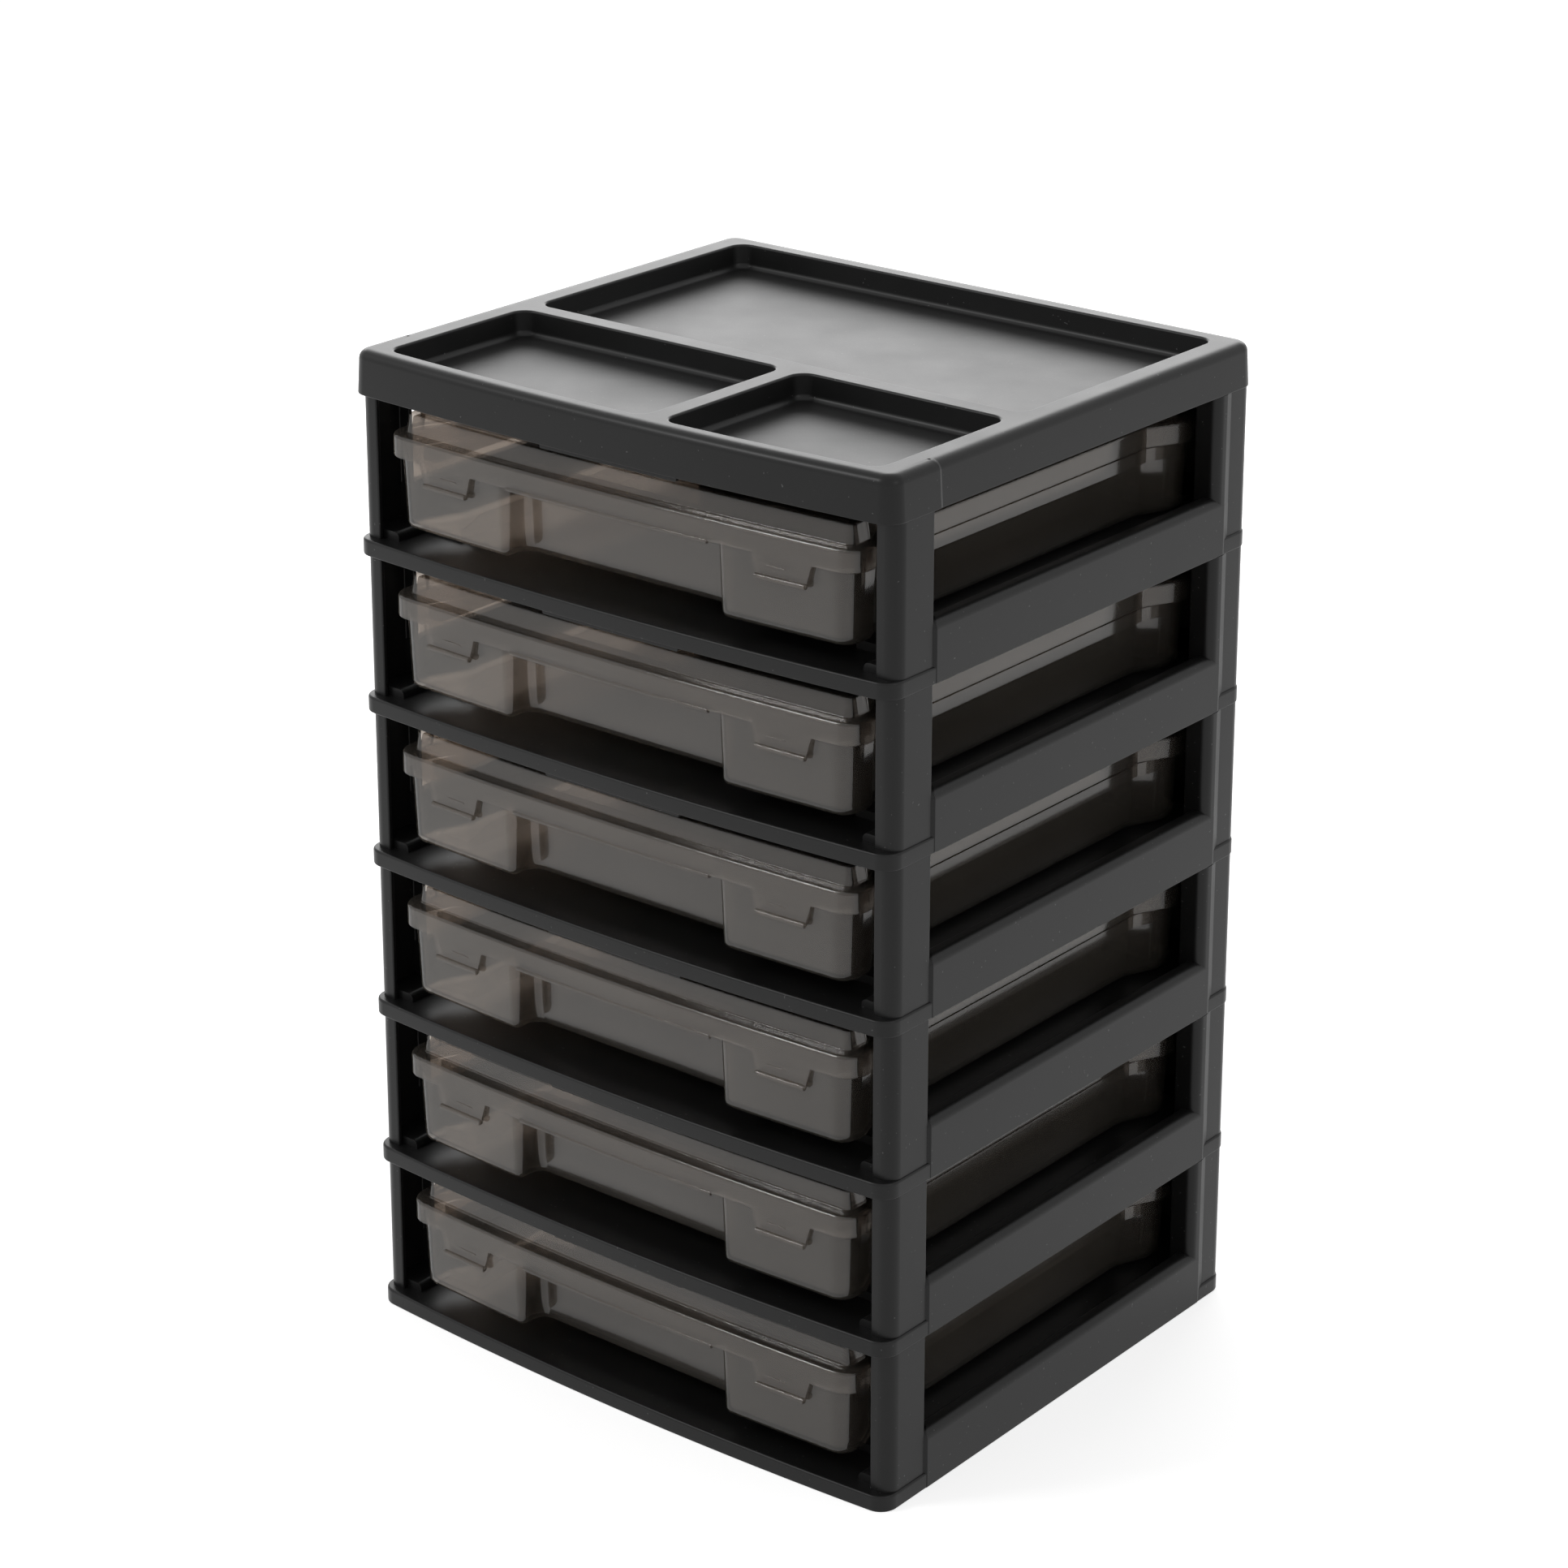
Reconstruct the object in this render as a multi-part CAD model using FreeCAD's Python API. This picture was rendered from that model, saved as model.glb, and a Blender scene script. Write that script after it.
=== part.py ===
import FreeCAD, Part
import math
import os

os.makedirs("parts", exist_ok=True)

# A tower of six stacked tier frames. Each tier carries one flat lidded case that slides out to the
# front, and an open organizer tray closes the top. Millimetres: X runs to the right along the
# front, Y to the back and Z up, from an origin on the floor under the middle of the tower.

# The whole tower
tower_width = 405.0
body_depth = 353.0
front_bow = 8.0
corner_radius = 12.0
tier_count = 6
tier_pitch = 100.0
least_radius = 0.4
widest_corner = 20.0
outer_flat_count = 4
inner_flat_count = 2
overrun = 1.0

# Tier frame: shelf with a band all round, and what stands on it
shelf_height = 10.2
frame_wall = 2.5
window_front = 38.8
window_back = 39.2
rail_height = 36.8
rail_width = 10.5
rail_radius = 5.0
post_setback = 5.2
post_inset = 1.5
post_wall = 3.0
post_radius = 9.0
post_chamfer = 2.0
front_flange = 14.0
front_return = 11.0
rear_return = 15.0
sill_setback = 9.5
sill_height = 15.5
sill_width = 28.5
ledge_width = 52.5
ledge_height = 21.7
ramp_length = 14.0
rib_wall = 2.0
rib_depth = 4.7
rib_spacing = 90.0
tongue_height = 6.5
tongue_length = 18.0
tongue_wall = 2.8
tongue_clearance = 0.3
lip_half = 54.0
lip_taper = 3.0
lip_setback = 7.0
lip_drop = 4.5

# Case: a base and a lid that meet at the skirt
seat_clearance = 0.3
case_side_gap = 26.0
case_back_gap = 9.1
case_headroom = 7.8
case_setback = 0.9
case_bow = 5.4
case_radius = 14.0
case_wall = 2.2
waist_depth = 11.0
waist_start = 46.5
waist_ramp = 22.0
plateau_rise = 11.8
plateau_inset = 8.0
plateau_draft = 2.0
skirt_height = 14.0
bead_short = 3.0
bead_drop = 1.3
lid_seam = 0.4
base_side_step = 5.2
base_side_draft = 1.3
base_front_draft = 2.0
base_waist = 9.3
base_foot = 2.5
band_height = 8.6
band_gap = 0.3
pod_width = 98.5
recess_depth = 15.6
recess_radius = 7.0

# Latch tab, moulded with the lid skirt
tab_inset = 50.5
tab_top = 42.0
tab_bottom = 34.0
tab_drop = 14.0
tab_wall = 1.8
tab_lip_height = 3.0
tab_lip_rise = 1.6

# Hinge along the back of the case
hinge_inset = 66.5
knuckle_radius = 3.2
knuckle_gap = 0.3
knuckle_cut_share = 0.6
base_knuckle = 16.0
lid_knuckle = 16.0

# Organizer tray
tray_height = 27.0
tray_wall = 2.5
tray_draft = 1.5
tray_edge = 6.0
front_rim = 13.5
side_rim = 20.0
back_rim = 16.0
pocket_depth = 15.5
pocket_radius = 10.0
pocket_draft = 1.2
pocket_foot = 3.0
divider_width = 14.0
long_divider_y = -36.0
short_divider_x = 28.0

half_width = tower_width / 2
front_y = (front_bow - body_depth) / 2
back_y = (front_bow + body_depth) / 2
window_front_y = front_y + window_front
window_back_y = back_y - window_back
post_face = half_width - post_inset
panel_y = back_y - post_inset

sill_half = half_width - sill_width
ledge_half = half_width - ledge_width

case_half = half_width - case_side_gap
case_bottom = ledge_height + seat_clearance
case_top = tier_pitch - case_headroom
flange_top = case_top - plateau_rise
skirt_bottom = flange_top - skirt_height
case_front_y = front_y + case_setback
case_back_y = panel_y - frame_wall - case_back_gap
case_middle_y = (case_front_y + case_back_y) / 2
waist_flat_half = (case_back_y - case_front_y) / 2 - waist_start
recess_half = case_half - pod_width
bead_half = recess_half - bead_short
tab_centre = case_half - tab_inset
hinge_at = case_half - hinge_inset
rim_step = case_wall + lid_seam
rim_top = flange_top - rim_step
hinge_y = case_back_y + knuckle_gap + knuckle_radius


def flat(corner):
    return FreeCAD.Vector(corner[0], corner[1], 0)


def corner_frame(corners, index):
    """A corner, the unit directions to its neighbours, half the angle between them, its bisector."""
    here = flat(corners[index])
    before = (flat(corners[index - 1]) - here).normalize()
    after = (flat(corners[(index + 1) % len(corners)]) - here).normalize()
    half_angle = before.getAngle(after) / 2
    return here, before, after, half_angle, (before + after).normalize()


def inset(corners, distance):
    """The outline moved inwards on every side, with its rounded corners kept parallel."""
    moved = []
    for index, corner in enumerate(corners):
        here, before, after, half_angle, bisector = corner_frame(corners, index)
        sign = 1 if after.cross(before).z > 0 else -1
        place = here + bisector * (sign * distance / math.sin(half_angle))
        radius = corner[2]
        if radius > 0:
            radius = max(radius - sign * distance, least_radius)
        moved.append((place.x, place.y, radius))
    return moved


def outline_wire(corners, place):
    """Lines and tangent arcs through (u, v, radius) corners, put in space by place(u, v)."""
    spans = []
    for index, corner in enumerate(corners):
        here, before, after, half_angle, bisector = corner_frame(corners, index)
        radius = corner[2]
        reach = radius / math.tan(half_angle)
        middle = here + bisector * (radius / math.sin(half_angle) - radius)
        spans.append([place(p.x, p.y) for p in (here + before * reach, middle, here + after * reach)])
    edges = []
    for index, (start, middle, end) in enumerate(spans):
        if corners[index][2] > 0:
            edges.append(Part.Arc(start, middle, end).toShape())
        edges.append(Part.makeLine(end, spans[(index + 1) % len(spans)][0]))
    return Part.Wire(edges)


def faceted(corners, flats):
    """The outline with each tight corner arc given as a few flats between points on the arc."""
    plain = []
    for index, corner in enumerate(corners):
        here, before, after, half_angle, bisector = corner_frame(corners, index)
        radius = corner[2]
        if 0 < radius < widest_corner:
            centre = here + bisector * (radius / math.sin(half_angle))
            start = here + before * (radius / math.tan(half_angle)) - centre
            end = here + after * (radius / math.tan(half_angle)) - centre
            turn = start.getAngle(end)
            for step in range(flats + 1):
                angle = turn * step / flats
                spoke = (start * math.sin(turn - angle) + end * math.sin(angle)) / math.sin(turn)
                plain.append((centre.x + spoke.x, centre.y + spoke.y, 0))
        else:
            plain.append(corner)
    return plain


def outer(corners):
    """The outline for the outside of a piece that repeats."""
    return faceted(corners, outer_flat_count)


def inner(corners):
    """The outline for the inside of a wall."""
    return faceted(corners, inner_flat_count)


def at_height(z):
    return lambda u, v: FreeCAD.Vector(u, v, z)


def stack(sections):
    """A solid ruled through plan outlines, each given as (corners, height)."""
    return Part.makeLoft([outline_wire(corners, at_height(z)) for corners, z in sections], True, True)


def prism(corners, bottom, top):
    face = Part.Face(outline_wire(corners, at_height(bottom)))
    return face.extrude(FreeCAD.Vector(0, 0, top - bottom))


def bar_along_x(corners, left, right):
    face = Part.Face(outline_wire(corners, lambda u, v: FreeCAD.Vector(left, u, v)))
    return face.extrude(FreeCAD.Vector(right - left, 0, 0))


def bar_along_y(corners, front, back):
    face = Part.Face(outline_wire(corners, lambda u, v: FreeCAD.Vector(u, front, v)))
    return face.extrude(FreeCAD.Vector(0, back - front, 0))


def block(left, right, front, back, bottom, top):
    size = (right - left, back - front, top - bottom)
    return Part.makeBox(*size, FreeCAD.Vector(left, front, bottom))


def mirrored(shape):
    return shape.mirror(FreeCAD.Vector(0, 0, 0), FreeCAD.Vector(1, 0, 0))


def both_sides(shapes):
    return shapes + [mirrored(shape) for shape in shapes]


def mirror_corners(right):
    return right + [(-x, y, radius) for x, y, radius in reversed(right)]


def bulge(left, right, rise, margin):
    """The corner between two others whose wide arc stands rise ahead of their chord."""
    half_chord = math.dist(left[:2], right[:2]) / 2
    reach = half_chord - margin
    slope = rise / (half_chord - reach / 2)
    away_x = (right[1] - left[1]) / (2 * half_chord)
    away_y = (left[0] - right[0]) / (2 * half_chord)
    height = slope * half_chord
    x = (left[0] + right[0]) / 2 + away_x * height
    y = (left[1] + right[1]) / 2 + away_y * height
    return (x, y, reach / slope)


def tower_outline():
    """Plan of the bands and the tray: square, with a gently bowed front."""
    right = [(half_width, front_y, corner_radius), (half_width, back_y, corner_radius)]
    corners = mirror_corners(right)
    return [bulge(corners[-1], corners[0], front_bow, 2 * corner_radius)] + corners


def stop_lip(top):
    """The tongue hanging under the middle of a front edge, over the lid of the case below."""
    back = front_y - front_bow + lip_setback + frame_wall
    corners = [
        (-lip_half, top, 0),
        (lip_taper - lip_half, -lip_drop, 0),
        (lip_half - lip_taper, -lip_drop, 0),
        (lip_half, top, 0),
    ]
    return bar_along_y(corners, back - frame_wall, back)


def front_post():
    """Channel section, open to the middle, with a wide rounded outer corner."""
    face_y = front_y + post_setback
    inside = post_face - post_wall
    corners = [
        (post_face - front_flange, face_y, 0),
        (post_face, face_y, post_radius),
        (post_face, window_front_y, 0),
        (post_face - front_return, window_front_y, 0),
        (post_face - front_return, window_front_y - post_wall, 0),
        (inside, window_front_y - post_wall, 0),
        (inside, face_y + 2 * post_wall, 0),
        (inside - post_wall, face_y + post_wall, 0),
        (post_face - front_flange, face_y + post_wall, 0),
    ]
    return prism(outer(corners), shelf_height - frame_wall, tier_pitch)


def rear_post():
    """Channel section that ends in the back panel, with a chamfered return facing the window."""
    inside = post_face - post_wall
    corners = [
        (post_face - rear_return, window_back_y, 0),
        (post_face - post_chamfer, window_back_y, 0),
        (post_face, window_back_y + post_chamfer, 0),
        (post_face, panel_y, post_radius),
        (post_face - rear_return, panel_y, 0),
        (post_face - rear_return, panel_y - post_wall, 0),
        (inside, panel_y - post_wall, 0),
        (inside, window_back_y + post_wall, 0),
        (post_face - rear_return, window_back_y + post_wall, 0),
    ]
    return prism(outer(corners), shelf_height - frame_wall, tier_pitch)


def side_rail(wall, low):
    """The rounded rail under a side window, drawn in by wall for its hollow."""
    inside = half_width - rail_width + wall
    corners = [
        (inside, low, 0),
        (half_width - wall, low, 0),
        (half_width - wall, rail_height - wall, max(rail_radius - 2 * wall, 0)),
        (inside, rail_height - wall, 0),
    ]
    return bar_along_y(outer(corners), window_front_y + wall, window_back_y - wall)


def case_ledge():
    """The ledge that carries the case, with a ramp up from the sill behind the front post."""
    corners = [
        (window_front_y - post_wall, shelf_height - frame_wall, 0),
        (panel_y - frame_wall, shelf_height - frame_wall, 0),
        (panel_y - frame_wall, ledge_height, 0),
        (window_front_y + ramp_length, ledge_height, 0),
        (window_front_y, sill_height, 0),
        (window_front_y - post_wall, sill_height, 0),
    ]
    return bar_along_x(corners, ledge_half, half_width - rail_width + frame_wall)


def front_sill():
    corners = [
        (sill_half, front_y + sill_setback, 0),
        (post_face - post_wall, front_y + sill_setback, 0),
        (post_face - post_wall, window_front_y, 0),
        (sill_half, window_front_y, 0),
    ]
    return prism(corners, shelf_height - frame_wall, sill_height)


def tongue(middle_y):
    """The upright tongue on a post that enters the hollow under the next band."""
    side = half_width - tray_wall - tray_draft - tongue_clearance
    front = middle_y - tongue_length / 2
    low = tier_pitch - tongue_height
    high = tier_pitch + tongue_height
    return block(side - tongue_wall, side, front, front + tongue_length, low, high)


def underside_hollows():
    """What is open from below, so that shelf, ledges and rails are one wall thick."""
    low = -overrun
    side = post_face - post_wall
    front = window_front_y + ramp_length
    back = panel_y - 2 * frame_wall
    ledge = block(ledge_half + frame_wall, side, front, back, low, ledge_height - frame_wall)
    front = front_y + sill_setback + frame_wall
    back = window_front_y - post_wall - frame_wall
    sill = block(sill_half + frame_wall, side, front, back, low, sill_height - frame_wall)
    plan = inner(inset(tower_outline(), frame_wall))
    shelf = prism(plan, low, shelf_height - frame_wall)
    return [shelf] + both_sides([ledge, sill, side_rail(frame_wall, low)])


def shelf_ribs():
    """Stiffening ribs running from side to side under the shelf, between the ledges."""
    top = shelf_height - frame_wall
    span = ledge_half + frame_wall
    ribs = []
    for step in (-1, 0, 1):
        front = step * rib_spacing - rib_wall / 2
        ribs.append(block(-span, span, front, front + rib_wall, top - rib_depth, top))
    return ribs


def back_panel():
    """Closed back between the rear posts, thicker up to the height of the side rails."""
    half = post_face - rear_return + post_wall
    upper = block(-half, half, panel_y - frame_wall, panel_y, shelf_height - frame_wall, tier_pitch)
    lower = bar_along_x(
        [
            (panel_y - frame_wall, shelf_height - frame_wall, 0),
            (back_y, shelf_height - frame_wall, 0),
            (back_y, rail_height, 0),
            (panel_y - frame_wall, rail_height, 0),
        ],
        rear_return - post_face, post_face - rear_return)
    return [upper, lower]


def tier_frame(with_lip):
    """One moulding: shelf, band, side rails, case ledges, four corner posts and back panel."""
    shelf = prism(outer(tower_outline()), 0, shelf_height)
    upright = [case_ledge(), front_sill(), side_rail(0, shelf_height - frame_wall)]
    frame = shelf.multiFuse(both_sides(upright) + back_panel())
    frame = frame.cut(underside_hollows())
    front_tongue = tongue((front_y + post_setback + window_front_y) / 2)
    rear_tongue = tongue((panel_y + window_back_y) / 2)
    added = both_sides([front_post(), rear_post(), front_tongue, rear_tongue]) + shelf_ribs()
    if with_lip:
        added.append(stop_lip(shelf_height - frame_wall))
    return frame.multiFuse(added).removeSplitter()


def waisted_side(half, waist, front, back, radius):
    """Right-hand corners of a case outline: two corner sections and a drawn-in middle."""
    return [
        (half, front, radius),
        (half, case_middle_y - waist_flat_half - waist_ramp, 0),
        (half - waist, case_middle_y - waist_flat_half, 0),
        (half - waist, case_middle_y + waist_flat_half, 0),
        (half, case_middle_y + waist_flat_half + waist_ramp, 0),
        (half, back, radius),
    ]


def lid_outline():
    corners = mirror_corners(
        waisted_side(case_half, waist_depth, case_front_y, case_back_y, case_radius))
    return [bulge(corners[-1], corners[0], case_bow, 2 * case_radius)] + corners


def base_outline(half, front, back, recessed):
    """The lid's outline with two pods in front, and the finger recess between them if asked for."""
    pod_y = front - case_bow * (1 - (recess_half / half) ** 2)
    pod = [(recess_half, pod_y, 0)]
    if recessed:
        pod = [(recess_half, case_front_y + recess_depth, 0), (recess_half, pod_y, recess_radius)]
    return mirror_corners(pod + waisted_side(half, base_waist, front, back, case_radius))


def base_section(z, recessed=True):
    """Outline of the base walls at one height, drafted towards the floor."""
    low = (rim_top - z) / (rim_top - case_bottom)
    half = case_half - base_side_step - base_side_draft * low
    front = case_front_y + rim_step + base_front_draft * low
    back = case_back_y - rim_step - base_side_draft * low
    return base_outline(half, front, back, recessed)


def tab_plate(low):
    """The tapered outline of both latch tabs, run from front to back."""
    high = skirt_bottom + overrun
    corners = [
        (tab_centre - tab_bottom / 2, low, 0),
        (tab_centre + tab_bottom / 2, low, 0),
        (tab_centre + tab_top / 2, high, 0),
        (tab_centre - tab_top / 2, high, 0),
    ]
    front = case_front_y - case_bow - 2 * tab_lip_rise
    plate = bar_along_y(corners, front, case_front_y + case_radius)
    return Part.Compound(both_sides([plate]))


def lid_slice(distance, bottom, top):
    return prism(outer(inset(lid_outline(), distance)), bottom, top)


def latch_tabs():
    """Tabs hanging from the skirt in line with its face, each ending in a raised finger lip."""
    low = skirt_bottom - tab_drop
    high = skirt_bottom + overrun
    skin = lid_slice(0, low, high).fuse(lid_slice(-tab_lip_rise, low, low + tab_lip_height))
    skin = skin.cut(lid_slice(tab_wall, low - overrun, high + overrun))
    return skin.common(tab_plate(low))


def knuckles(left, length, wall_y, web_edge):
    """Hinge barrels on both sides of the back edge, each on a web from inside the wall before it."""
    up = 1 if web_edge > skirt_bottom else -1
    cut = knuckle_radius * knuckle_cut_share
    near = hinge_y - knuckle_radius
    far = hinge_y + knuckle_radius
    web_side = skirt_bottom + up * knuckle_radius
    free_side = skirt_bottom - up * knuckle_radius
    corners = [
        (wall_y, web_edge, 0),
        (near, web_edge, 0),
        (near, free_side + up * cut, 0),
        (near + cut, free_side, 0),
        (far - cut, free_side, 0),
        (far, free_side + up * cut, 0),
        (far, web_side - up * cut, 0),
        (far - cut, web_side, 0),
        (wall_y, web_side, 0),
    ]
    return both_sides([bar_along_x(corners, left, left + length)])


def case_lid():
    """Skirted flange with a raised plateau, latch tabs in front and hinge knuckles behind."""
    outline = lid_outline()
    bead_bottom = skirt_bottom - bead_drop
    flange = prism(outer(outline), bead_bottom, flange_top)
    plateau_foot = inset(outline, plateau_inset)
    plateau_head = inset(outline, plateau_inset + plateau_draft)
    plateau = stack([(outer(plateau_foot), flange_top - case_wall), (outer(plateau_head), case_top)])
    skirt_plan = inner(inset(outline, case_wall))
    plateau_plan = inner(inset(plateau_head, case_wall))
    hollows = [
        prism(skirt_plan, bead_bottom - overrun, flange_top - case_wall),
        prism(plateau_plan, flange_top - case_wall - overrun, case_top - case_wall),
    ]
    front = case_front_y - case_bow - overrun
    back = case_back_y + overrun
    below = block(-tower_width, tower_width, front, back, bead_bottom - overrun, skirt_bottom)
    front = front - overrun
    bottom = bead_bottom - 2 * overrun
    bead_space = block(-bead_half, bead_half, front, case_middle_y, bottom, skirt_bottom + overrun)
    lid = flange.fuse(plateau).cut(hollows).cut(below.cut(bead_space))
    wall_y = case_back_y - case_wall / 2
    hinges = knuckles(hinge_at + knuckle_gap, lid_knuckle, wall_y, skirt_bottom + lid_seam)
    return lid.multiFuse([latch_tabs()] + hinges).removeSplitter()


def side_band():
    """The thickened band on the drawn-in side of the base, flush under the lid skirt."""
    face = case_half - waist_depth - band_gap
    wall = case_half - base_side_step
    inside = wall - base_waist - case_wall / 2
    ramp_start = case_middle_y - waist_flat_half
    ramp_end = case_middle_y + waist_flat_half
    corners = [
        (inside, ramp_start - waist_ramp, 0),
        (wall, ramp_start - waist_ramp, 0),
        (face, ramp_start, 0),
        (face, ramp_end, 0),
        (wall, ramp_end + waist_ramp, 0),
        (inside, ramp_end + waist_ramp, 0),
    ]
    return prism(corners, skirt_bottom - band_height, skirt_bottom - lid_seam)


def base_wall(heights, foot, recessed):
    """Outside of the base through some heights, drawn in by the foot chamfer at the first one."""
    sections = [base_section(z, recessed) for z in heights]
    sections[0] = inset(sections[0], foot)
    return stack([(outer(plan), z) for plan, z in zip(sections, heights)])


def base_hollow(bottom, top, recessed):
    """Inside of the base between two heights, one wall in from the outside."""
    plans = [(inset(base_section(z, recessed), case_wall), z) for z in (bottom, top)]
    return stack([(inner(plan), z) for plan, z in plans])


def case_base():
    """Deep tray with drawn-in sides and two front pods; a ledge closes the recess between them."""
    ledge_top = skirt_bottom + case_wall
    deep = base_wall([case_bottom, case_bottom + base_foot, skirt_bottom], base_foot, True)
    rim = base_wall([skirt_bottom, rim_top], 0, False)
    hollows = [
        base_hollow(case_bottom + case_wall, ledge_top, True),
        base_hollow(ledge_top, rim_top + overrun, False),
    ]
    wall_y = case_back_y - rim_step - case_wall / 2
    hinges = knuckles(hinge_at - base_knuckle, base_knuckle, wall_y, skirt_bottom - lid_seam)
    solids = [rim] + both_sides([side_band()]) + hinges
    return deep.multiFuse(solids).cut(hollows).removeSplitter()


def pocket_corners(left, right, front_of, back):
    """Plan of one tray compartment, its front edge following the bow where front_of says so."""
    start = (left, front_of(left), pocket_radius)
    end = (right, front_of(right), pocket_radius)
    corners = [start, end, (right, back, pocket_radius), (left, back, pocket_radius)]
    rise = front_bow * ((right - left) / tower_width) ** 2
    if start[1] != end[1]:
        corners.insert(1, bulge(start, end, rise, 2 * pocket_radius))
    return corners


def pocket(corners):
    """A compartment with drafted walls and a chamfered foot."""
    def wall_section(z):
        return inset(corners, pocket_draft * (tray_height - z) / pocket_depth)

    floor = tray_height - pocket_depth
    mouth = tray_height + overrun
    return stack([
        (inset(wall_section(floor), pocket_foot), floor),
        (wall_section(floor + pocket_foot), floor + pocket_foot),
        (wall_section(mouth), mouth),
    ])


def pocket_skin(corners):
    """The outside of a compartment as it shows from below."""
    skin = inner(inset(corners, -tray_wall))
    return prism(skin, tray_height - pocket_depth - tray_wall, tray_height)


def organizer_tray():
    """Shell with a rounded rim: two compartments in front of one that runs the whole width."""
    outline = tower_outline()
    sections = [(outline, 0)]
    for angle in (0, 45, 90):
        turn = math.radians(angle)
        drawn_in = tray_draft + tray_edge * (1 - math.cos(turn))
        sections.append((inset(outline, drawn_in), tray_height - tray_edge * (1 - math.sin(turn))))
    shell = stack(sections)
    side = half_width - side_rim
    divider_front = long_divider_y - divider_width / 2
    divider_back = long_divider_y + divider_width / 2

    def rim_line(x):
        return front_y - front_bow + front_rim + front_bow * (x / half_width) ** 2

    plans = [
        pocket_corners(-side, short_divider_x - divider_width / 2, rim_line, divider_front),
        pocket_corners(short_divider_x + divider_width / 2, side, rim_line, divider_front),
        pocket_corners(-side, side, lambda x: divider_back, back_y - back_rim),
    ]
    side_wall = tray_wall + tray_draft
    underside = prism(inner(inset(outline, side_wall)), -overrun, tray_height - tray_edge / 2)
    underside = underside.cut([pocket_skin(plan) for plan in plans])
    tray = shell.cut([pocket(plan) for plan in plans]).cut(underside)
    return tray.fuse(stop_lip(tray_height - tray_edge / 2)).removeSplitter()


def save(shape, name, height):
    """Write one piece lifted to its tier."""
    placed = shape.copy()
    placed.translate(FreeCAD.Vector(0, 0, height))
    placed.exportStep("parts/" + name + ".step")
    solids = placed.Solids
    print(name, "solids", len(solids), "valid", placed.isValid(), "volume", round(placed.Volume))


lowest_frame = tier_frame(False)
upper_frame = tier_frame(True)
base_piece = case_base()
lid_piece = case_lid()

for tier in range(tier_count):
    seam = tier * tier_pitch
    number = str(tier + 1)
    save(lowest_frame if tier == 0 else upper_frame, "tier_frame_" + number, seam)
    save(base_piece, "case_base_" + number, seam)
    save(lid_piece, "case_lid_" + number, seam)
save(organizer_tray(), "organizer_tray", tier_count * tier_pitch)
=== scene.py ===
import math

import bmesh
import bpy
from mathutils import Matrix


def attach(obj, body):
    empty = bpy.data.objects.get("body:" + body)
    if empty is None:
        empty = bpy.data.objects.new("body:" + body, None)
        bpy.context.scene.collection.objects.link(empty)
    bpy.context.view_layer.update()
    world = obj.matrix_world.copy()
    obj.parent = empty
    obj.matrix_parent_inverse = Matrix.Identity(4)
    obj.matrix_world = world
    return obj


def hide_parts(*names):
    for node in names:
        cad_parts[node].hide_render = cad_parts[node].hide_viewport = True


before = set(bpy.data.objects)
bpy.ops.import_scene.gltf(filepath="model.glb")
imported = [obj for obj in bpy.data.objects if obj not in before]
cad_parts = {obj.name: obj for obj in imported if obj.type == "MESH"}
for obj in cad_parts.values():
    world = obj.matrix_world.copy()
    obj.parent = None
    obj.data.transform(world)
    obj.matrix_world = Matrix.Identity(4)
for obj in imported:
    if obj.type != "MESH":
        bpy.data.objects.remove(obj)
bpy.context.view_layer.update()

# The tower's own plan: every band and the tray on top share one outline, square at the sides and
# back and gently bowed in front. The plastic is black polypropylene with a fine spark-eroded
# grain, injection moulded; tiers press together.
tower_width = 405.0
tower_front = -172.5
tower_back = 180.5
front_bow = 8.0
tier_count = 6
tier_pitch = 100.0
half_width = tower_width / 2


class Wire:
    """A socket of a shader tree that can be used in Python expressions."""

    def __init__(self, tree, socket):
        self.tree = tree
        self.socket = socket

    def math(self, operation, *others):
        made = self.tree.nodes.new("ShaderNodeMath")
        made.operation = operation
        for place, value in zip(made.inputs, (self, *others)):
            connect(self.tree, place, value)
        return Wire(self.tree, made.outputs[0])

    def __add__(self, other):
        return self.math("ADD", other)

    def __sub__(self, other):
        return self.math("SUBTRACT", other)

    def __rsub__(self, other):
        return (self * -1.0) + other

    def __mul__(self, other):
        return self.math("MULTIPLY", other)

    def __truediv__(self, other):
        return self.math("DIVIDE", other)

    __radd__ = __add__
    __rmul__ = __mul__


def connect(tree, place, value):
    if isinstance(value, Wire):
        tree.links.new(value.socket, place)
    elif value is not None:
        place.default_value = value


class Finish:
    """A procedural material, or another shader tree, whose nodes are added one call at a time."""

    def __init__(self, name, tree=None):
        self.tree = tree
        if tree is None:
            self.material = bpy.data.materials.new(name)
            self.material.use_nodes = True
            self.tree = self.material.node_tree
            self.tree.nodes.clear()

    def node(self, kind, settings=None, sockets=None, output=0):
        made = self.tree.nodes.new(kind)
        for name, value in (settings or {}).items():
            setattr(made, name, value)
        for name, value in (sockets or {}).items():
            connect(self.tree, made.inputs[name], value)
        return Wire(self.tree, made.outputs[output])

    def noise(self, place, scale, detail=3.0, roughness=0.5):
        return self.node(
            "ShaderNodeTexNoise", {"noise_dimensions": "3D"},
            {"Vector": place, "Scale": scale, "Detail": detail, "Roughness": roughness})

    def mix(self, share, low, high):
        made = self.tree.nodes.new("ShaderNodeMix")
        made.data_type = "RGBA"
        connect(self.tree, made.inputs["Factor"], share)
        connect(self.tree, made.inputs[6], low)
        connect(self.tree, made.inputs[7], high)
        return Wire(self.tree, made.outputs[2])

    def finish(self, shader):
        out = self.tree.nodes.new("ShaderNodeOutputMaterial")
        self.tree.links.new(shader.socket, out.inputs["Surface"])
        return self.material


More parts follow.
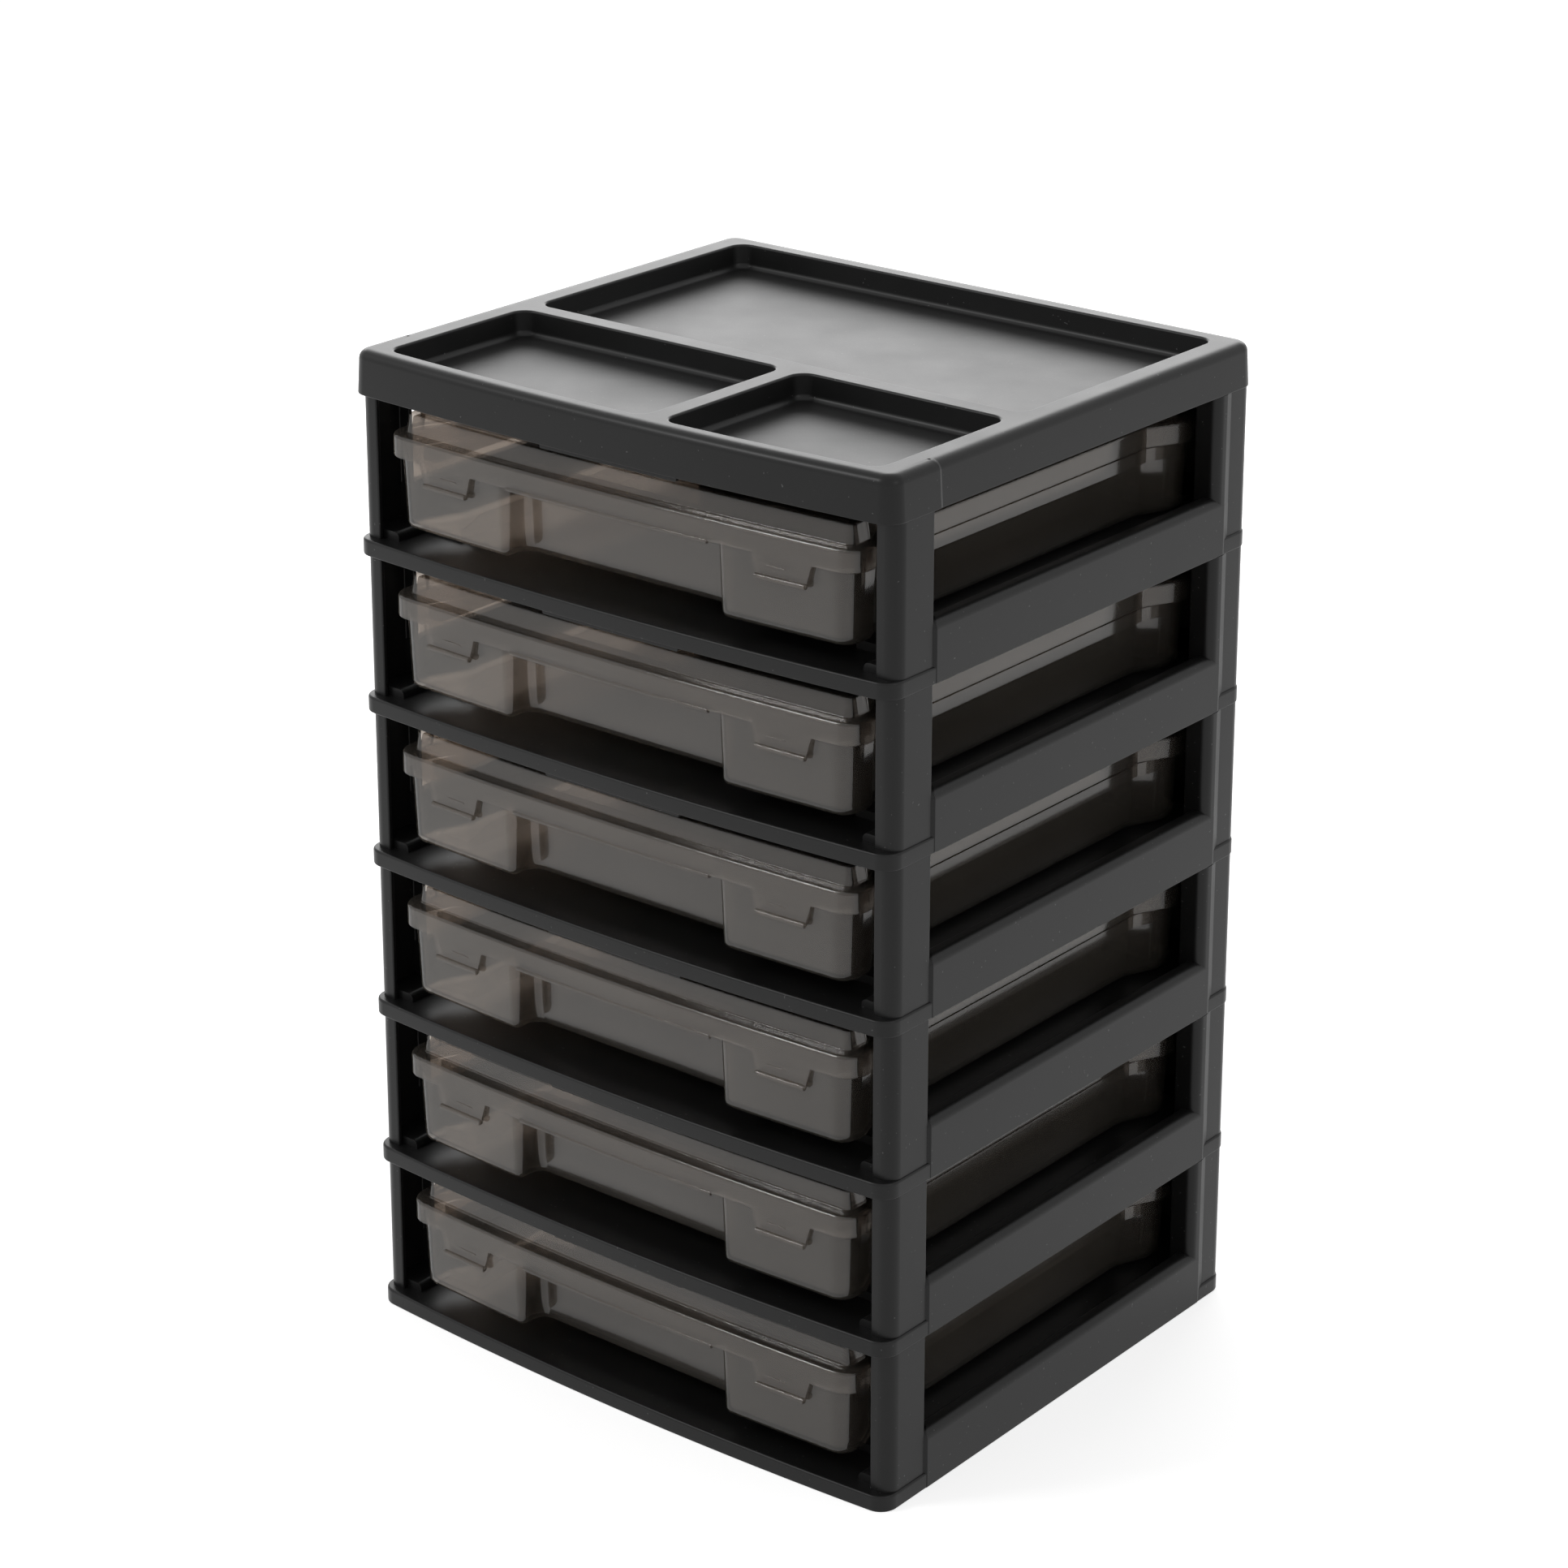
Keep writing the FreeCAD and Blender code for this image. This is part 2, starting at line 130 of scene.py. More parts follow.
def grey(level, warmth=0.0):
    """A colour from its sRGB level out of 255, warmed by a few steps."""
    shades = []
    for step in (level + warmth, level + warmth * 0.2, level - warmth):
        share = max(step, 0.0) / 255
        shades.append(share / 12.92 if share <= 0.04045 else ((share + 0.055) / 1.055) ** 2.4)
    return (*shades, 1.0)


def black_moulding():
    """Black polypropylene: fine grain, cloudy sheen from handling, a few specks of dust."""
    look = Finish("black_moulding")
    place = look.node("ShaderNodeTexCoord", output=3)
    grain = look.noise(place, 1700.0, 2.0, 0.6)
    cloud = look.noise(place, 22.0, 4.0, 0.55)
    flow = look.noise(place, 5.0, 2.0, 0.5)
    speck = look.noise(place, 620.0, 0.0)
    dust = ((speck - 0.845) * 40.0).math("MAXIMUM", 0.0).math("MINIMUM", 1.0)
    colour = look.mix((cloud * 0.6 + flow * 0.4 + (grain - 0.5) * 0.5), grey(13), grey(26))
    colour = look.mix(dust * 0.4, colour, grey(120))
    rough = 0.25 + cloud * 0.12 + grain * 0.08
    bump = look.node(
        "ShaderNodeBump", None,
        {"Strength": 0.3, "Distance": 0.00005, "Height": grain + cloud * 0.4})
    body = look.node(
        "ShaderNodeBsdfPrincipled", None,
        {"Base Color": colour, "Roughness": rough, "Normal": bump, "IOR": 1.49,
         "Specular IOR Level": 0.25})
    return look.finish(body)


black = black_moulding()


def moulding_tree():
    """Sweeps a cross-section along a path, with both rounded at the corners that ask for it."""
    tree = bpy.data.node_groups.new("moulding", "GeometryNodeTree")
    sockets = (
        ("Geometry", "INPUT", "NodeSocketGeometry"),
        ("Path", "INPUT", "NodeSocketObject"),
        ("Section", "INPUT", "NodeSocketObject"),
        ("Path steps", "INPUT", "NodeSocketInt"),
        ("Section steps", "INPUT", "NodeSocketInt"),
        ("Capped ends", "INPUT", "NodeSocketBool"),
        ("Material", "INPUT", "NodeSocketMaterial"),
        ("Geometry", "OUTPUT", "NodeSocketGeometry"),
    )
    for name, way, kind in sockets:
        tree.interface.new_socket(name, in_out=way, socket_type=kind)
    given = tree.nodes.new("NodeGroupInput").outputs
    result = tree.nodes.new("NodeGroupOutput").inputs[0]
    rounded = []
    for line, steps in (("Path", "Path steps"), ("Section", "Section steps")):
        source = tree.nodes.new("GeometryNodeObjectInfo")
        tree.links.new(given[line], source.inputs["Object"])
        fillet = tree.nodes.new("GeometryNodeFilletCurve")
        if hasattr(fillet, "mode"):
            fillet.mode = "POLY"
        radius = tree.nodes.new("GeometryNodeInputRadius")
        tree.links.new(source.outputs["Geometry"], fillet.inputs["Curve"])
        tree.links.new(radius.outputs[0], fillet.inputs["Radius"])
        tree.links.new(given[steps], fillet.inputs["Count"])
        fillet.inputs["Limit Radius"].default_value = True
        even = tree.nodes.new("GeometryNodeSetCurveRadius")
        even.inputs["Radius"].default_value = 1.0
        tree.links.new(fillet.outputs["Curve"], even.inputs["Curve"])
        rounded.append(even)
    upright = tree.nodes.new("GeometryNodeSetCurveNormal")
    upright.mode = "Z_UP"
    tree.links.new(rounded[0].outputs["Curve"], upright.inputs["Curve"])
    sweep = tree.nodes.new("GeometryNodeCurveToMesh")
    tree.links.new(upright.outputs["Curve"], sweep.inputs["Curve"])
    tree.links.new(rounded[1].outputs["Curve"], sweep.inputs["Profile Curve"])
    tree.links.new(given["Capped ends"], sweep.inputs["Fill Caps"])
    real = tree.nodes.new("GeometryNodeRealizeInstances")
    tree.links.new(sweep.outputs["Mesh"], real.inputs["Geometry"])
    coat = tree.nodes.new("GeometryNodeSetMaterial")
    tree.links.new(real.outputs["Geometry"], coat.inputs["Geometry"])
    tree.links.new(given["Material"], coat.inputs["Material"])
    tree.links.new(coat.outputs["Geometry"], result)
    return tree


moulding = moulding_tree()
scratch = bpy.data.collections.new("patterns")
bpy.context.scene.collection.children.link(scratch)


def line(points, closed):
    """A pattern line through (x, y, z, radius) points in millimetres."""
    curve = bpy.data.curves.new("line", "CURVE")
    curve.dimensions = "3D"
    spline = curve.splines.new("POLY")
    spline.points.add(len(points) - 1)
    for point, (x, y, z, radius) in zip(spline.points, points):
        point.co = (x / 1000, y / 1000, z / 1000, 1)
        point.radius = radius / 1000
    spline.use_cyclic_u = closed
    shown = bpy.data.objects.new("line", curve)
    scratch.objects.link(shown)
    return shown


def swept(path, section, material, path_steps=10, section_steps=3, capped=False):
    """The plain mesh that the moulding tree makes from two pattern lines."""
    host = bpy.data.objects.new("host", bpy.data.meshes.new("host"))
    scratch.objects.link(host)
    modifier = host.modifiers.new("moulding", "NODES")
    modifier.node_group = moulding
    values = {
        "Path": path, "Section": section, "Path steps": path_steps,
        "Section steps": section_steps, "Capped ends": capped, "Material": material}
    for item in moulding.interface.items_tree:
        if item.in_out == "INPUT" and item.name in values:
            modifier[item.identifier] = values[item.name]
    bpy.context.view_layer.update()
    evaluated = host.evaluated_get(bpy.context.evaluated_depsgraph_get())
    mesh = bpy.data.meshes.new_from_object(evaluated)
    for used in (host, path, section):
        bpy.data.objects.remove(used)
    return mesh


def around(plan, profile, material, height=0.0, path_steps=10, section_steps=3):
    """A wall that follows a closed plan: the profile is (distance inwards, height) points."""
    path = line([(x, y, height, radius) for x, y, radius in plan], True)
    section = line([(-inward, -z, 0, radius) for inward, z, radius in profile], False)
    return swept(path, section, material, path_steps, section_steps)


def upright(plan, bottom, top, material, steps=8):
    """A bar standing on its plan."""
    path = line([(0, 0, bottom, 0), (0, 0, top, 0)], False)
    section = line([(x, y, 0, radius) for x, y, radius in plan], True)
    return swept(path, section, material, 1, steps, True)


def along_y(corners, track, material, steps=5):
    """A bar whose (x, z) section runs towards the back through (x, y, radius) points.

    The section's x is counted from those points."""
    path = line([(x, y, 0, radius) for x, y, radius in track], False)
    section = line([(x, -z, 0, radius) for x, z, radius in corners], True)
    return swept(path, section, material, 4, steps, True)


def along_x(corners, left, right, material, steps=4):
    """A bar whose (y, z) section runs from right to left."""
    path = line([(right, 0, 0, 0), (left, 0, 0, 0)], False)
    section = line([(y, -z, 0, radius) for y, z, radius in corners], True)
    return swept(path, section, material, 1, steps, True)


def in_mirror(mesh):
    """The same form on the other side of the tower."""
    other = mesh.copy()
    other.transform(Matrix.Scale(-1, 4, (1, 0, 0)))
    other.flip_normals()
    return other


def both_sides(meshes):
    return meshes + [in_mirror(mesh) for mesh in meshes]


def assembled(name, meshes, crease=32.0):
    """One closed mesh from swept walls and bars, with flat faces over the open loops."""
    whole = bmesh.new()
    for mesh in meshes:
        whole.from_mesh(mesh)
    bmesh.ops.remove_doubles(whole, verts=whole.verts, dist=2e-6)
    levels = {}
    for edge in whole.edges:
        if edge.is_boundary:
            levels.setdefault(round(edge.verts[0].co.z * 5000), []).append(edge)
    for edges in levels.values():
        bmesh.ops.triangle_fill(whole, use_beauty=True, use_dissolve=False, edges=edges)
    bmesh.ops.recalc_face_normals(whole, faces=whole.faces)
    made = bpy.data.meshes.new(name)
    whole.to_mesh(made)
    whole.free()
    for material in meshes[0].materials:
        made.materials.append(material)
    made.shade_smooth()
    made.set_sharp_from_angle(angle=math.radians(crease))
    host = bpy.data.objects.new("host", made)
    scratch.objects.link(host)
    evening = host.modifiers.new("even", "WEIGHTED_NORMAL")
    evening.keep_sharp = True
    evening.weight = 100
    evaluated = host.evaluated_get(bpy.context.evaluated_depsgraph_get())
    even = bpy.data.meshes.new_from_object(evaluated)
    even.name = name
    bpy.data.objects.remove(host)
    return even


def piece(name, mesh, height, body, node):
    """Places a copy of a finished mesh at its tier and lets it stand for its solid."""
    placed = mesh.copy()
    placed.name = name
    placed.transform(Matrix.Translation((0, 0, height / 1000)))
    shown = bpy.data.objects.new(name, placed)
    bpy.context.scene.collection.objects.link(shown)
    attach(shown, body)
    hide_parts(node)


def bowed(left, right, count, front, bow, half):
    """Points of the bowed front line from left to right, for a face that is half wide."""
    points = []
    for step in range(count + 1):
        x = left + (right - left) * step / count
        points.append((x, front - bow * (1 - (x / half) ** 2), 0))
    return points


def tower_plan(inward=0.0):
    """Counter-clockwise plan of band and tray."""
    half = half_width - inward
    front = tower_front + inward
    back = tower_back - inward
    corner = max(12.0 - inward, 1.0)
    bow = bowed(-half + 28, half - 28, 16, front, front_bow, half)
    return bow + [
        (half, front, corner), (half, back, corner), (-half, back, corner),
        (-half, front, corner)]


# Tier frame: a shelf with a band all round, four channel posts, side rails under the windows,
# ledges that carry the case, and a closed back. One moulding, six times; the lowest one has no
# stop lip, because it stands on the floor.
shelf_top = 10.2
shelf_wall = 2.5
shelf_inside = shelf_top - shelf_wall
rail_top = 36.8
case_rest = 21.7
panel_wall = 2.5
post_face = half_width - 1.5
window_front = tower_front + 38.8
window_back = tower_back - 39.2
panel = tower_back - 1.5

shelf = around(
    tower_plan(0.3),
    [(7.0, shelf_top, 0), (0.0, shelf_top, 1.5), (0.0, 0.0, 0.9), (shelf_wall, 0.0, 0.6),
     (shelf_wall + 0.3, shelf_inside, 1.0), (7.0, shelf_inside, 0)],
    black)
front_post = upright(
    [(post_face - 14, tower_front + 5.2, 1.0), (post_face, tower_front + 5.2, 9.0),
     (post_face, window_front, 1.0), (post_face - 11, window_front, 1.0),
     (post_face - 11, window_front - 3, 0.8), (post_face - 3, window_front - 3, 1.0),
     (post_face - 3, tower_front + 11.2, 2.5), (post_face - 6, tower_front + 8.2, 2.5),
     (post_face - 14, tower_front + 8.2, 0.8)],
    shelf_inside, tier_pitch, black)
rear_post = upright(
    [(post_face - 15, window_back, 1.0), (half_width - 0.1, window_back, 6.0),
     (half_width - 0.1, window_back + 9, 3.0), (post_face, window_back + 15, 3.0),
     (post_face, panel, 9.0), (post_face - 15, panel, 0.5),
     (post_face - 15, panel - 3, 0.5), (post_face - 3, panel - 3, 3.0),
     (post_face - 3, window_back + 3, 2.0), (post_face - 15, window_back + 3, 0.8)],
    shelf_inside, tier_pitch, black)
rail_track = [
    (half_width - 1.7, window_front - 4, 0), (half_width - 1.7, window_front - 0.4, 0.8),
    (half_width, window_front + 1.2, 0.8), (half_width, window_back + 9, 3.0),
    (half_width - 1.7, window_back + 16, 0)]
rail = along_y(
    [(-10.5, 0.0, 0), (0.0, 0.0, 0.9), (0.0, rail_top, 5.5), (-10.5, rail_top, 1.5)],
    rail_track, black)
ledge = along_x(
    [(window_front - 3, shelf_inside, 0), (panel - panel_wall, shelf_inside, 0),
     (panel - panel_wall, case_rest, 0), (window_front + 14, case_rest, 3.0),
     (window_front, 15.5, 3.0), (window_front - 3, 15.5, 0)],
    150.0, half_width - 8, black)
sill = along_y(
    [(0, shelf_inside, 0), (24, shelf_inside, 0), (24, 15.6, 0), (0, 15.6, 3.5)],
    [(175.5, tower_front + 9.5, 0), (175.5, window_front, 0)], black)
lower_panel = along_x(
    [(panel - panel_wall, shelf_inside, 0), (tower_back, shelf_inside, 0),
     (tower_back, rail_top, 2.0), (panel - panel_wall, rail_top, 0)],
    15 - post_face, post_face - 15, black)
upper_panel = along_x(
    [(panel - panel_wall, shelf_inside, 0), (panel, shelf_inside, 0), (panel, tier_pitch, 0),
     (panel - panel_wall, tier_pitch, 0)],
    12 - post_face, post_face - 12, black)
ribs = [
    along_x(
        [(y - 1, 3.0, 0.4), (y + 1, 3.0, 0.4), (y + 1, 7.9, 0), (y - 1, 7.9, 0)],
        -152.5, 152.5, black)
    for y in (-90.0, 0.0, 90.0)]


def stop_lip(top):
    """The tongue hanging under the middle of a front edge."""
    back = tower_front - front_bow + 9.5
    return along_y(
        [(-54, top, 0), (-51, -4.5, 1.2), (51, -4.5, 1.2), (54, top, 0)],
        [(0, back - 2.5, 0), (0, back, 0)], black)


frame_sides = both_sides([front_post, rear_post, rail, ledge, sill])
plain_frame = assembled(
    "tier_frame", [shelf] + frame_sides + [lower_panel, upper_panel] + ribs)
lipped_frame = assembled("tier_frame_lip", [plain_frame, stop_lip(8.0)])
for tier in range(tier_count):
    number = str(tier + 1)
    height = tier * tier_pitch
    shape = lipped_frame if tier else plain_frame
    piece("frame_" + number, shape, height, "tower", "tier_frame_" + number)

# Organizer tray: an open top of the same black plastic, with a wide rounded rim, two compartments
# in front and one behind them across the whole width. Pressed onto the posts of the top tier.
tray_top = 27.0
pocket_floor = 11.5
rim_step = 0.5
step_front = -128.0
step_back = 141.0
tray_plan = tower_plan()
bow_count = len(tray_plan) - 4
right_steps = [
    (half_width, step_front - 2, 0.8), (half_width - rim_step, step_front, 0.8),
    (half_width - rim_step, step_back - 60, 0), (half_width, step_back, 0)]
left_steps = [(-x, y, radius) for x, y, radius in reversed(right_steps)]
tray_plan = tray_plan[:bow_count + 1] + right_steps + tray_plan[bow_count + 1:bow_count + 3] \
    + left_steps + tray_plan[bow_count + 3:]
tray_shell = around(
    tray_plan,
    [(9.0, tray_top, 0), (1.5, tray_top, 6.0), (0.0, 0.0, 0.7), (2.5, 0.0, 0.5),
     (4.0, tray_top - 2.5, 2.0), (6.3, tray_top - 2.5, 0)],
    black, section_steps=5)


def pocket(plan):
    """Inner and outer walls of one compartment; the flat floors are filled in later."""
    inner = around(
        plan,
        [(-1.6, tray_top, 0), (0.0, tray_top, 1.4), (1.3, pocket_floor, 4.0),
         (9.0, pocket_floor, 0)],
        black, section_steps=5)
    outer = around(
        plan,
        [(-3.4, tray_top - 2.5, 0), (-2.4, tray_top - 2.5, 0.8), (-1.2, pocket_floor - 2.5, 4.5),
         (9.0, pocket_floor - 2.5, 0)],
        black, section_steps=4)
    return [inner, outer]


def front_line(left, right):
    """Front edge of a compartment, following the bow of the rim."""
    return bowed(left, right, 6, tower_front + 13.5, front_bow, half_width)


side_line = half_width - 20
divider_front = -43.0
divider_back = -29.0
split_left = 21.0
split_right = 35.0
pocket_corner = 10.0


def cornered(points):
    """The first and last point of a front line carry the corner radius."""
    return [(*points[0][:2], pocket_corner)] + points[1:-1] + [(*points[-1][:2], pocket_corner)]


left_plan = cornered(front_line(-side_line, split_left)) + [
    (split_left, divider_front, pocket_corner), (-side_line, divider_front, pocket_corner)]
right_plan = cornered(front_line(split_right, side_line)) + [
    (side_line, divider_front, pocket_corner), (split_right, divider_front, pocket_corner)]
back_plan = [
    (-side_line, divider_back, pocket_corner), (side_line, divider_back, pocket_corner),
    (side_line, tower_back - 16, pocket_corner), (-side_line, tower_back - 16, pocket_corner)]
tray = assembled(
    "organizer_tray", [tray_shell] + pocket(left_plan) + pocket(right_plan) + pocket(back_plan))
tray = assembled("organizer_tray", [tray, stop_lip(tray_top - 3)])
piece("tray", tray, tier_count * tier_pitch, "tower", "organizer_tray")

# Case: a flat box of smoke-tinted clear plastic that lies on the ledges. The base has two pods in
# front with a finger recess between them and sides drawn in between the corners. The lid has a
# raised plateau, a skirt over the base and two latch tabs; barrels along the back join the two.
case_half = 176.5
case_front = tower_front + 0.9
case_back = case_front + 339.0
case_middle = (case_front + case_back) / 2
case_bow = 5.4
case_floor = 22.0
case_top = 92.2
flange_top = 80.4
skirt_bottom = 66.4
wall = 2.2


def smoke_plastic():
    """Smoke-tinted clear plastic: glossy, faintly cloudy along its flow, a little scuffed."""
    look = Finish("smoke_plastic")
    place = look.node("ShaderNodeTexCoord", output=3)
    cloud = look.noise(place, 12.0, 3.0, 0.5)
    flow = look.noise(place, 3.0, 1.0, 0.5)
    scuff = look.noise(place, 110.0, 5.0, 0.65)
    colour = look.mix(cloud, grey(62, 3), grey(82, 5))
    rough = 0.05 + scuff * 0.06 + cloud * 0.04
    bump = look.node(
        "ShaderNodeBump", None,
        {"Strength": 0.12, "Distance": 0.0004, "Height": cloud * 0.3 + flow})
    body = look.node(
        "ShaderNodeBsdfPrincipled", None,
        {"Base Color": colour, "Roughness": rough, "Normal": bump, "IOR": 1.53,
         "Specular IOR Level": 1.0, "Coat Weight": 0.5, "Coat Roughness": 0.06})
    tinted = look.node("ShaderNodeBsdfTransparent", None, {"Color": (0.92, 0.865, 0.815, 1.0)})
    facing = look.node("ShaderNodeLayerWeight", None, {"Blend": 0.4}, output=1)
    cover = 0.26 + cloud * 0.08 + facing * 0.38
    return look.finish(look.node("ShaderNodeMixShader", None, {0: cover, 1: tinted, 2: body}))


smoke = smoke_plastic()
tab_centre = 126.0
tab_top_half = 21.0
tab_bottom_half = 17.0
tab_drop = 14.0


def waisted(half, waist, front, back, corner):
    """Right side of a case plan from front corner to back corner."""
    return [
        (half, front, corner), (half, case_middle - 145, 6), (half - waist, case_middle - 123, 6),
        (half - waist, case_middle + 123, 6), (half, case_middle + 145, 6), (half, back, corner)]


def closed_plan(front_points, right):
    """A plan closed by the mirror image of its right side."""
    left = [(-x, y, radius) for x, y, radius in reversed(right)]
    return front_points + right + left


lid_edges = [0.0, 25.0, 50.0, 75.0, 90.0, 155.0]
for reach in (6.0, tab_bottom_half, tab_top_half):
    lid_edges += [tab_centre - reach, tab_centre + reach]
lid_edges = sorted(set(lid_edges))
lid_front = [
    (x, case_front - case_bow * (1 - (x / case_half) ** 2), 0)
    for x in [-edge for edge in reversed(lid_edges[1:])] + lid_edges]
lid_plan = closed_plan(lid_front, waisted(case_half, 11.0, case_front, case_back, 14.0))
lid_shell = around(
    lid_plan,
    [(16.0, case_top, 0), (10.0, case_top, 1.6), (8.0, flange_top, 0.9), (0.0, flange_top, 2.4),
     (0.0, skirt_bottom + 3.2, 0), (0.0, skirt_bottom, 0.9), (wall, skirt_bottom, 0.7),
     (wall, flange_top - wall, 1.2), (10.2, flange_top - wall, 0.8),
     (12.2, case_top - wall, 1.2), (16.0, case_top - wall, 0)],
    smoke, section_steps=4)


def hang_tabs(mesh):
    """Draws the foot of the skirt down into the two latch tabs."""
    for vertex in mesh.vertices:
        x = abs(vertex.co.x * 1000)
        z = vertex.co.z * 1000
        front = vertex.co.y * 1000 < case_front + 20
        if front and z < skirt_bottom + 3.3:
            reach = (tab_top_half - abs(x - tab_centre)) / (tab_top_half - tab_bottom_half)
            vertex.co.z -= tab_drop * min(max(reach, 0.0), 1.0) / 1000


def along_front(left, right, section, height):
    """A bar along the bowed front of the lid, its section given as (outwards, up) points."""
    points = bowed(left, right, 8, case_front, case_bow, case_half)
    path = line([(x, y, height, 0) for x, y, _ in points], False)
    outline = line([(out, -up, 0, radius) for out, up, radius in section], True)
    return swept(path, outline, smoke, 1, 4, True)


hang_tabs(lid_shell)
tab_lip = along_front(
    tab_centre - 17.2, tab_centre + 17.2,
    [(-1.4, 0.0, 0.5), (1.6, 0.0, 1.2), (1.6, 3.2, 1.2), (-1.4, 3.2, 0.5)], skirt_bottom - tab_drop)
tab_dash = along_front(
    tab_centre - 9.5, tab_centre + 3.5,
    [(-0.5, -0.5, 0.2), (0.35, -0.5, 0.3), (0.35, 0.5, 0.3), (-0.5, 0.5, 0.2)], skirt_bottom - 5.1)
bead = along_front(
    -75.0, 75.0,
    [(-2.2, -1.3, 0.6), (0.7, -1.3, 1.2), (0.7, 1.6, 1.2), (-2.2, 1.6, 0.6)], skirt_bottom)
barrel_radius = 3.2
barrel_near = case_back + 0.3
barrel_far = barrel_near + 2 * barrel_radius


def barrel(left, length, up, web):
    """A hinge barrel on its web; up is 1 where the web lies in the upper half, else -1."""
    return along_x(
        [(web, skirt_bottom + up * 0.4, 0), (barrel_near, skirt_bottom + up * 0.4, 0),
         (barrel_near, skirt_bottom - up * barrel_radius, 3.0),
         (barrel_far, skirt_bottom - up * barrel_radius, 3.0),
         (barrel_far, skirt_bottom + up * barrel_radius, 3.0),
         (web, skirt_bottom + up * barrel_radius, 0)],
        left, left + length, smoke)


lid_barrel = barrel(110.3, 16.0, 1, case_back - 1)
lid = assembled("case_lid", [lid_shell, bead] + both_sides([tab_lip, tab_dash, lid_barrel]))


recess_half = 78.0
recess_back = case_front + 15.6
recess_front = case_front - 1.7
notch_bottom = 61.3
notch_width = 9.6


def base_plan():
    """Plan of the base from the recess's right end to its left end, by way of the back."""
    half = case_half - 5.2
    front = case_front + 2.6
    pod_front = front - case_bow * (1 - (recess_half / half) ** 2)
    right = [(recess_half, recess_back, 5.0), (recess_half, pod_front, 7.0)]
    for x in (95.0, 110.0, 130.0, 150.0):
        right.append((x, front - case_bow * (1 - (x / half) ** 2), 0))
    right += waisted(half, 9.3, front, case_back - 2.6, 14.0)
    return closed_plan([], right)


rim_top = flange_top - wall - 0.4
base_shell = around(
    base_plan(),
    [(14.0, case_floor, 0), (1.8, case_floor, 5.0), (0.0, skirt_bottom, 0), (0.0, rim_top, 0.9),
     (wall, rim_top, 0.9), (wall + 0.2, skirt_bottom, 0), (wall + 1.8, case_floor + wall, 4.0),
     (14.0, case_floor + wall, 0)],
    smoke, section_steps=6)
side_band = upright(
    [(160.0, case_middle - 143, 1.0), (171.0, case_middle - 143, 1.0),
     (165.2, case_middle - 123, 5.0), (165.2, case_middle + 123, 5.0),
     (171.0, case_middle + 143, 1.0), (160.0, case_middle + 143, 1.0)],
    skirt_bottom - 8.6, skirt_bottom - 0.4, smoke)
base_barrel = barrel(94.0, 16.0, -1, case_back - 3.6)


def opened(mesh, cutters):
    """Takes small openings out of a wall."""
    host = bpy.data.objects.new("host", mesh)
    scratch.objects.link(host)
    tools = []
    for cutter in cutters:
        tool = bpy.data.objects.new("cutter", cutter)
        scratch.objects.link(tool)
        tools.append(tool)
        cut = host.modifiers.new("opening", "BOOLEAN")
        cut.operation = "DIFFERENCE"
        cut.solver = "EXACT"
        cut.object = tool
    evaluated = host.evaluated_get(bpy.context.evaluated_depsgraph_get())
    result = bpy.data.meshes.new_from_object(evaluated)
    for used in [host] + tools:
        bpy.data.objects.remove(used)
    return result


latch_notches = [
    along_y(
        [(start, notch_bottom, 1.0), (start + notch_width, notch_bottom, 1.0),
         (start + notch_width, skirt_bottom, 1.0), (start, skirt_bottom, 1.0)],
        [(0, case_front - 10, 0), (0, case_front + 7, 0)], smoke)
    for start in (tab_centre + 17, 17 - tab_centre)]
pods = opened(assembled("case_base", [base_shell]), latch_notches)
ledge_over_recess = along_x(
    [(recess_back, skirt_bottom, 0), (recess_back, skirt_bottom + wall, 0),
     (recess_front + wall, skirt_bottom + wall, 1.0), (recess_front + wall, rim_top, 0.6),
     (recess_front, rim_top, 0.6), (recess_front, skirt_bottom, 1.0)],
    -recess_half - 0.5, recess_half + 0.5, smoke)
base = assembled("case_base", [pods, ledge_over_recess] + both_sides([side_band, base_barrel]))
for tier in range(tier_count):
    number = str(tier + 1)
    height = tier * tier_pitch
    piece("base_" + number, base, height, "case_" + number, "case_base_" + number)
    piece("lid_" + number, lid, height, "case_" + number, "case_lid_" + number)

bpy.data.collections.remove(scratch)

# Floor and studio: a pale seamless floor, a white surround and three soft lamps. The camera
# stands where the fitted view of the object is, in front of its right side and above it.
floor_mesh = bpy.data.meshes.new("floor")
floor_mesh.from_pydata(
    [(-6, -6, 0), (6, -6, 0), (6, 6, 0), (-6, 6, 0)], [], [(0, 1, 2, 3)])
floor = bpy.data.objects.new("floor", floor_mesh)
bpy.context.scene.collection.objects.link(floor)


